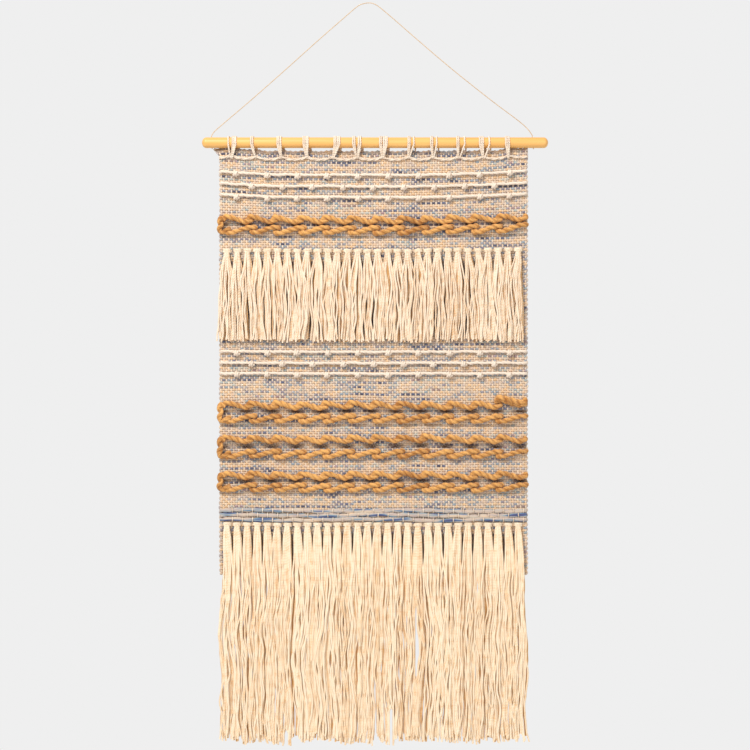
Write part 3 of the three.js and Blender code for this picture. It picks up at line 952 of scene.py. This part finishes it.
def wrap_path(stitch_x, aside, number):
    """A strand that rises from its stitch, goes over the rod and comes down to the back of the cloth."""
    over_x = stitch_x + 0.001 * aside
    foot_x = stitch_x + 0.00022 * aside
    half_way = 0.5 * (lacing_z + rod_z) - 0.0015
    layer = 0.0004 * (number % 2)
    up_front = [
        (foot_x, 0.0, lacing_z + 0.0008),
        (foot_x, face_y - 0.0012, lacing_z + 0.0015),
        (foot_x + 0.15 * (over_x - foot_x), face_y - 0.0022 - layer, lacing_z + 0.0046),
        (foot_x + 0.5 * (over_x - foot_x), -0.5 * reach - 0.0026, half_way),
    ]
    over = []
    for k in range(13):
        a = radians(-20 + 17.5 * k)
        loose = by_hand.uniform(-0.0002, 0.0002) + 0.003 * max(0, k - 6) / 6
        over.append((over_x + loose, -reach * cos(a), rod_z + reach * sin(a)))
    back_x = foot_x + 0.0062
    down_back = [
        (0.5 * (over_x + 0.003 + back_x) + 0.001, 0.6 * reach + 0.002, half_way),
        (back_x, 0.0066, lacing_z + 0.004),
        (back_x, 0.0060, lacing_z - 0.0005),
        (back_x, 0.0018, lacing_z - 0.0016),
    ]
    return smooth([*up_front, *over, *down_back], 3)


for i, strands_aside in enumerate(wraps):
    stitch_x = first_stitch + i * stitch_pitch
    loop = made(
        f"rod_loop_{i + 1:02d}_strands",
        laid_yarn,
        {**lacing_size, "Radius": strand_radius, "Step": 0.0007},
        yarn_line("loop", [wrap_path(stitch_x, aside, k) for k, aside in enumerate(strands_aside)]),
    )
    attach(loop, "panel")
    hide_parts(f"rod_loop_{i + 1:02d}")

# ---- slub rows ----------------------------------------------------------------------------------------
# Six rows of soft, thick cream yarn lie on the cloth, three near the top and three below the upper
# fringe. Every few centimetres the yarn swells to a soft lump that hangs a little under the row.

slub_finish = yarn_finish("cream slub yarn", (0.76, 0.61, 0.48), (0.87, 0.745, 0.62), 0.0007, 0.4)
slub_rows_z = [-0.2577, -0.2748, -0.291, -0.5225, -0.5394, -0.5552]
slub_radius = 0.0023
lump_pitch = 0.0455


def slub_path(row, place):
    """One row, from edge to edge, and the short coils of wool that make its lumps."""
    z = slub_rows_z[row]
    y = face_y - 0.5 * slub_radius
    lumps = []
    path = [(cloth_left + 0.0006, 0.001, z), (cloth_left + 0.0026, y + 0.0006, z)]
    x = cloth_left + 0.008
    while x < cloth_right - 0.006:
        if place - 0.009 < x < cloth_right - 0.02:
            centre = place + by_hand.uniform(-0.001, 0.001)
            drop, wide = by_hand.uniform(0.0013, 0.0024), by_hand.uniform(0.0070, 0.0096)
            dip = ((-0.006, 0), (-0.002, 0.0006), (0.002, 0.0006), (0.006, 0))
            path += [(centre + a, y, z - b) for a, b in dip]
            coil = []
            for k in range(25):
                turn, reach_in = 2 * pi * k / 8, 0.0010 + 0.0017 * sin(pi * k / 24)
                out, up = 0.0014 + reach_in * cos(turn), 1.25 * reach_in * sin(turn)
                coil.append((centre + wide * (k / 24 - 0.5), y - out, z - drop + up))
            lumps.append(smooth(coil, 2))
            x = place + 0.0105
            place += lump_pitch
        else:
            path.append((x, y, z + by_hand.uniform(-0.0006, 0.0006)))
            x += 0.009
    path += [(cloth_right - 0.0026, y + 0.0006, z), (cloth_right - 0.0006, 0.001, z)]
    return smooth(path, 4), lumps


for row in range(6):
    slub_line, lumps = slub_path(row, cloth_left + (0.047 if row % 3 == 1 else 0.0243))
    slub_size = {"Lay": 0.016, "Groove": 0.08, "Uneven": 0.3, "Material": slub_finish}
    slub_row = made(
        f"slub_row_{row + 1}_yarn",
        on_cloth,
        {**slub_size, "Radius": slub_radius, "Sides": 10, "Step": 0.001},
        yarn_line("slub row", [slub_line]),
    )
    slub_lumps = made(
        f"slub_row_{row + 1}_lumps",
        on_cloth,
        {**slub_size, "Radius": 0.0020, "Sides": 7, "Step": 0.0012},
        yarn_line("slub lumps", lumps),
    )
    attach(slub_row, "panel")
    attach(slub_lumps, "panel")
    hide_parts(f"slub_row_{row + 1}")

# ---- braided rows -------------------------------------------------------------------------------------
# Four bands of thick golden yarn, each an upper and a lower row of long stitches. Each stitch goes over
# the cloth at a slant and dives under the start of the next. The two rows join in a turn at the left
# edge.

braid_finish = yarn_finish(
    "golden yarn",
    (0.40, 0.14, 0.02),
    (0.93, 0.48, 0.14),
    0.0007,
    tones=0.6,
    bump=1.0,
    sheen=0.2,
    streaks=2.2,
    plies=0.6,
)
bands_z = [(-0.3252, -0.3400), (-0.6032, -0.6225), (-0.6537, -0.6752), (-0.7080, -0.7258)]
braid_radius = 0.0037


def braid_stitch(x, z, lower, length):
    """One long stitch of a braided row that starts at x."""
    z += by_hand.uniform(-0.0006, 0.0006)
    y = face_y - 0.62 * braid_radius
    if lower:
        shape = [
            (-0.0035, 0.0028, -0.0012),
            (-0.0012, 0.0002, -0.0031),
            (0.004, -0.0006, -0.0034),
            (0.012, -0.0006, -0.0018),
            (length - 0.014, -0.0006, 0.0012),
            (length - 0.006, -0.0012, 0.0028),
            (length + 0.0002, -0.0012, 0.0031),
            (length + 0.0032, 0.0022, 0.0026),
        ]
    else:
        shape = [
            (-0.004, 0.0026, 0.0),
            (-0.0022, -0.0004, 0.0022),
            (0.0016, -0.0022, 0.0031),
            (0.0075, -0.0016, 0.0024),
            (0.016, -0.0005, 0.0004),
            (length - 0.011, 0.0, -0.0021),
            (length - 0.0045, 0.0002, -0.0022),
            (length + 0.0005, 0.0006, -0.0004),
            (length + 0.0032, 0.003, 0.0014),
        ]
    return smooth([(x + along, y + out, z + 1.25 * up) for along, out, up in shape], 4)


def edge_turn(upper_z, lower_z):
    """The yarn's turn at the left edge, down from the upper row to the lower."""
    y = face_y - 0.6 * braid_radius
    x = cloth_left
    shape = [
        (x + 0.008, y, upper_z - 0.001),
        (x + 0.0016, y - 0.001, upper_z + 0.0008),
        (x - 0.0008, y - 0.0008, upper_z - 0.003),
        (x + 0.0022, y - 0.0012, 0.5 * (upper_z + lower_z)),
        (x - 0.0004, y - 0.001, lower_z + 0.003),
        (x + 0.0006, y, lower_z - 0.0022),
        (x + 0.006, y, lower_z - 0.0028),
        (x + 0.012, y - 0.0008, lower_z + 0.0006),
        (x + 0.0155, y + 0.0012, lower_z + 0.0016),
    ]
    return smooth(shape, 5)


for band, levels in enumerate(bands_z):
    for lower, z in enumerate(levels):
        start = cloth_left + (0.0125 if lower else 0.0085)
        last_end = cloth_right - 0.0042
        pitch = (last_end - start) / stitches_each
        starts = [start + k * pitch + by_hand.uniform(-0.001, 0.001) for k in range(stitches_each)]
        ends_at = [*starts[1:], last_end]
        stitches = [braid_stitch(a, z, lower, b - a) for a, b in zip(starts, ends_at)]
        if band == 1 and not lower:
            # The last stitch of the second band is left loose, as a thick tuft.
            last = [(x, y, z + 0.004) for x, y, z in stitches.pop() if x < cloth_right - 0.001]
            for out, up in ((0, 0), (0.0018, 0.0026), (0, 0.0048)):
                stitches.append([(x, y - out, z + up) for x, y, z in last])
        if not lower:
            stitches.append(edge_turn(*levels))
        node = f"braid_{band + 1}_{'lower' if lower else 'upper'}"
        braid = made(
            node + "_yarn",
            on_cloth,
            {
                "Radius": braid_radius,
                "Lay": 0.021,
                "Groove": 0.13,
                "Sides": 16,
                "Step": 0.001,
                "Uneven": 0.35,
                "Material": braid_finish,
            },
            yarn_line("braid", stitches),
        )
        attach(braid, "panel")
        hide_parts(node)

# ---- roving picks -------------------------------------------------------------------------------------
# Three flat picks of unspun wool, dyed in patches of blue, teal, grey and peach, lie close together above
# the lower fringe. Short cream stitches tie them down to the cloth every 15 mm.

roving_rows_z = [-0.761, -0.7677, -0.7744]
roving_half = 0.0032
tie_pitch = 0.01504
first_tie = cloth_left + 0.019


def roving_dye(nodes, mixed, shade):
    """Patches of dye a few centimetres long, and fine streaks along the fibres."""
    x, y, z = nodes.xyz(nodes.put("ShaderNodeTexCoord", give="Object"))
    patch = nodes.noise(nodes.vector(x * 15.0, 2.0, z * 150.0), 1.0, 1.0)
    streak = nodes.noise(nodes.vector(x * 40.0, y * 300.0, z * 1900.0), 1.0, 2.0)
    dye = nodes.clamp((patch - 0.5) * 2.5 + (streak - 0.5) * 1.0 + 0.47)
    between = (
        (0.16, (0.10, 0.12, 0.26)),
        (0.27, (0.14, 0.27, 0.37)),
        (0.37, (0.38, 0.37, 0.36)),
        (0.48, (0.62, 0.51, 0.40)),
        (0.58, (0.34, 0.27, 0.30)),
        (0.68, (0.72, 0.53, 0.37)),
        (0.80, (0.48, 0.45, 0.40)),
    )
    return dye_colours(nodes, dye, (0.07, 0.08, 0.17), (0.76, 0.52, 0.33), between)


roving_finish = yarn_finish("dyed roving", (0, 0, 0), (1, 1, 1), 0.0006, 0.3, 0.4, 0.2, roving_dye)

for row, z in enumerate(roving_rows_z):
    start = first_tie + (0.5 * tie_pitch if row % 2 else 0.0)
    y = face_y - 0.0006
    flat_line = [(cloth_left + 0.0005, 0.0006, z), (cloth_left + 0.003, y, z)]
    for k in range(1, 38):
        wandered = z + by_hand.uniform(-0.0009, 0.0009) + 0.0009 * sin(0.33 * k + row)
        flat_line.append((cloth_left + 0.003 + k * 0.012, y, wandered))
    flat_line += [(cloth_right - 0.003, y, z), (cloth_right - 0.0005, 0.0006, z)]
    roving = made(
        f"roving_pick_{row + 1}_wool",
        on_cloth,
        {
            "Radius": roving_half,
            "Lay": 1000.0,
            "Groove": 0.0,
            "Sides": 14,
            "Step": 0.0012,
            "Flatness": 0.42,
            "Uneven": 0.25,
            "Pinch": 0.3,
            "Pinch pitch": tie_pitch,
            "Pinch start": start,
            "Material": roving_finish,
        },
        yarn_line("roving", [smooth(flat_line, 4)]),
    )
    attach(roving, "panel")
    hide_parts(f"roving_pick_{row + 1}")
    ties = []
    x = start
    while x < cloth_right - 0.004:
        out = y - 0.0021
        ties.append(
            smooth(
                [
                    (x, 0.0004, z + 0.0036),
                    (x, y + 0.0002, z + 0.0031),
                    (x + by_hand.uniform(-0.0004, 0.0004), out, z + 0.001),
                    (x, out, z - 0.001),
                    (x, y + 0.0002, z - 0.0031),
                    (x, 0.0004, z - 0.0036),
                ],
                3,
            )
        )
        x += tie_pitch
    tie_downs = made(
        f"roving_ties_{row + 1}",
        on_cloth,
        {"Radius": 0.00075, "Lay": 0.006, "Groove": 0.1, "Sides": 8, "Step": 0.0007, "Material": cream},
        yarn_line("ties", ties),
    )
    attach(tie_downs, "panel")

# ---- fringe knots -------------------------------------------------------------------------------------
# Each of the thirty tassels of a fringe is knotted to the cloth as a lark's head: its strands come out of
# the cloth as one flat bar of cream yarn, pass behind and hang down under the bar.

tassels = 30
tassels_each = 6
tassel_pitch = 0.01504
first_tassel = -0.2119
knot_half = 0.0056
knot_yarn = yarn_finish("knot yarn", (0.76, 0.57, 0.38), (0.95, 0.82, 0.64), 0.0005, 0.3, 0.5, lay=0.008)
# Each fringe yarn runs from its dark colour, painted shade for the strands at the back, to its pale colour
# for the strands in front; a random tone moves each strand along it too.
fringe_yarns = {
    "upper": yarn_finish(
        "upper fringe yarn", (0.64, 0.35, 0.12), (0.92, 0.76, 0.59), 0.0005, 1.1, 0.5, lay=0.008
    ),
    "lower": yarn_finish(
        "lower fringe yarn", (0.74, 0.39, 0.11), (0.96, 0.80, 0.60), 0.0005, 1.2, 0.5, lay=0.008
    ),
}


def larks_head(x, z):
    """The strands of one knot: the bar across, and the ones that go down under it."""
    paths = []
    tilt = by_hand.uniform(-0.0005, 0.0005)
    for k in range(3):
        level = z + 0.0016 * (1 - k) + by_hand.uniform(-0.0002, 0.0002)
        wide = knot_half * by_hand.uniform(0.92, 1.06)
        out = 0.0006 if k == 1 else 0.0
        shape = [
            (-0.72 * wide, 0.002, 0.0),
            (-0.98 * wide, -0.0012, 0.0001),
            (-0.72 * wide, -0.0050, 0.0004),
            (0.0, -0.0058 - out, 0.0006),
            (0.72 * wide, -0.0050, 0.0004),
            (0.98 * wide, -0.0012, 0.0001),
            (0.72 * wide, 0.002, 0.0),
        ]
        paths.append(smooth([(x + a, b, level + c + tilt * a / wide) for a, b, c in shape], 5))
    for k in range(4):
        place = x + 0.0015 * (k - 1.5)
        down = [(-0.0006, 0.0026), (-0.0026, 0.0), (-0.0036, -0.0045), (-0.0034, -0.009)]
        paths.append(smooth([(place, out, z + up) for out, up in down], 3))
    return paths


# Each fringe: the height of its knots and of its tips, and how many strands a tassel has.
fringes = {"upper": (-0.3714, -0.5052, 14), "lower": (-0.782, -1.1015, 20)}
knot_size = {"Radius": 0.00128, "Lay": 1000.0, "Groove": 0.0, "Sides": 7, "Step": 0.0012}
for fringe, (knot_z, tip_z, strands) in fringes.items():
    for part in range(tassels // tassels_each):
        heads = []
        for k in range(tassels_each):
            number = part * tassels_each + k
            x = first_tassel + number * tassel_pitch + by_hand.uniform(-0.0005, 0.0005)
            heads += larks_head(x, knot_z + by_hand.uniform(-0.0004, 0.0004))
        knots = made(
            f"{fringe}_knots_{part + 1}_yarn",
            on_cloth,
            {**knot_size, "Material": knot_yarn},
            yarn_line("knots", heads),
        )
        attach(knots, "panel")
        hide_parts(f"{fringe}_knots_{part + 1}")

# ---- tassels ------------------------------------------------------------------------------------------
# Thirty tassels of cream yarn hang from each row of knots, with 14 strands in each upper one and 20 in
# each lower one. The strands wander, cross and drift together as they fall, part here and there, and end
# in a ragged line.

hanging = Draft("tassels")
first = hanging.takes("First", 0, "Int")
count = hanging.takes("Count", tassels_each, "Int")
strands = hanging.takes("Strands", 14, "Int")
samples = hanging.takes("Samples", 40, "Int")
knot_z = hanging.takes("Knot z", -0.37)
length = hanging.takes("Length", 0.13)
drift = hanging.takes("Drift", 0.01)
front = hanging.takes("Front", 0.0036)
fullness = hanging.takes("Fullness", 0.004)
neck = hanging.takes("Neck", 0.006)
spread_over = hanging.takes("Spread over", 0.05)
seed = hanging.takes("Seed", 1, "Int")
finish = hanging.takes("Material", kind="Material")
straight = hanging.put(
    "GeometryNodeCurvePrimitiveLine", {"Start": hanging.vector(), "End": hanging.vector(0.0, 0.0, 1.0)}
)
straight = hanging.put(
    "GeometryNodeResampleCurve", {"Curve": straight, "Count": samples}, mode="COUNT"
)
places = hanging.put("GeometryNodePoints", {"Count": count * strands})
all_strands = hanging.put("GeometryNodeInstanceOnPoints", {"Points": places, "Instance": straight})
number = hanging.put("GeometryNodeInputIndex") + first * strands
all_strands = hanging.notes(all_strands, "number", number, domain="INSTANCE")
all_strands = hanging.put("GeometryNodeRealizeInstances", {"Geometry": all_strands})
number = hanging.put("GeometryNodeInputNamedAttribute", {"Name": "number"})
_, _, fall = hanging.xyz(hanging.put("GeometryNodeInputPosition"))
tassel = hanging.math("FLOOR", (number + 0.5) / strands)
strand = number - tassel * strands
aside = (strand + 0.5) / strands - 0.5
tip = hanging.chance(-0.022, 0.018, number, seed) + hanging.chance(-0.014, 0.012, tassel, seed + 1.0)
fallen = fall * length * (1.0 + tip)
spread = hanging.clamp(fallen / spread_over)
spread = spread * spread * (3.0 - 2.0 * spread)
knot_x = first_tassel + tassel * tassel_pitch
loose = hanging.noise(hanging.vector(number * 7.3, fallen * 17.0, 0.0), 1.0, 1.0) - 0.5
crinkle = hanging.noise(hanging.vector(number * 3.1, fallen * 70.0, 3.0), 1.0, 0.0) - 0.5
flow = hanging.noise(hanging.vector(knot_x * 17.0, fallen * 8.0, seed), 1.0, 1.0) - 0.5
back = strand - hanging.math("FLOOR", strand / 2.0 + 0.25) * 2.0  # every other strand lies at the back
steady = 1.0 - back * 0.7
lean = hanging.chance(-1.0, 1.0, number, seed + 2.0) * fall * 0.006 * steady
tassel_lean = hanging.chance(-1.0, 1.0, tassel, seed + 3.0)
tassel_lean = tassel_lean * (fall * 0.004 + hanging.clamp(fallen / 0.03) * 0.0012)
widening = hanging.clamp(fallen / 0.016) * (neck - 0.0056)
x = knot_x + aside * (0.0056 + widening + spread * (0.0185 - neck)) + lean + tassel_lean
x = x + spread * (loose * 0.017 * steady + flow * drift) + crinkle * 0.0012 * (0.3 + 0.7 * spread)
layer = (1.0 - back) * 0.45 + hanging.chance(0.0, 0.55, number, seed + 4.0)
deep = hanging.noise(hanging.vector(number * 5.7, fallen * 23.0, 7.0), 1.0, 1.0) - 0.5
y = -front - (layer * fullness * (0.4 + 0.6 * spread)) - deep * 0.0016 * spread
# Partings: the strands keep clear of a few narrow slits, each between two heights.
partings = [
    (0.071, -0.885, -1.032, 0.0021),
    (0.034, -1.035, -1.16, 0.0032),
    (0.052, -1.05, -1.16, 0.0014),
    (0.107, -1.048, -1.16, 0.0016),
    (0.182, -1.012, -1.07, 0.0015),
    (-0.123, -1.07, -1.16, 0.004),
]
for slit_x, slit_top, slit_bottom, half_gap in partings:
    height = knot_z - fallen
    inside = hanging.clamp((slit_top - height) / 0.02) * hanging.clamp((height - slit_bottom) / 0.02)
    way = hanging.math("SIGN", knot_x + aside * tassel_pitch - slit_x)
    x = slit_x + way * hanging.math("MAXIMUM", way * (x - slit_x), inside * (0.03 + half_gap) - 0.03)
place = hanging.group(lie, {"Flat": hanging.vector(x, y, knot_z - fallen)}, "Lie")
all_strands = hanging.moved(all_strands, place)
# Painted shade: strands that lie further back get a lower tone, so they come out darker and more golden,
# as if shaded by the front ones; the rest of the tone is random.
tone_and_shade = hanging.chance(0.0, 0.35, number, seed + 5.0) + hanging.math("MINIMUM", layer * 1.3, 0.65)
thin = 0.00122 + hanging.chance(0.0, 0.0003, number, seed + 6.0)
spun = hanging.group(
    spin,
    {
        "Line": all_strands,
        "Radius": thin,
        "Lay": 1000.0,
        "Groove": 0.0,
        "Sides": 5,
        "Flatness": 1.0,
        "Tone": tone_and_shade,
    },
    "Yarn",
)
hanging.gives("Strands", hanging.finished(spun, finish))

for fringe, (knot_z, tip_z, strands) in fringes.items():
    long = fringe == "lower"
    for part in range(tassels // tassels_each):
        tassel_group = made(
            f"{fringe}_tassels_{part + 1}_strands",
            hanging,
            {
                "First": part * tassels_each,
                "Count": tassels_each,
                "Strands": strands,
                "Samples": 54 if long else 36,
                "Knot z": knot_z - 0.001,
                "Length": knot_z - tip_z,
                "Drift": 0.020 if long else 0.016,
                "Front": 0.0036,
                "Fullness": 0.0072 if long else 0.0058,
                "Neck": 0.0100 if long else 0.0086,
                "Spread over": 0.115 if long else 0.050,
                "Seed": 7 if long else 21,
                "Material": fringe_yarns[fringe],
            },
        )
        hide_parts(f"{fringe}_tassels_{part + 1}")
        knot_z - 0.006
        knot_z - 0.026
        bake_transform(tassel_group)
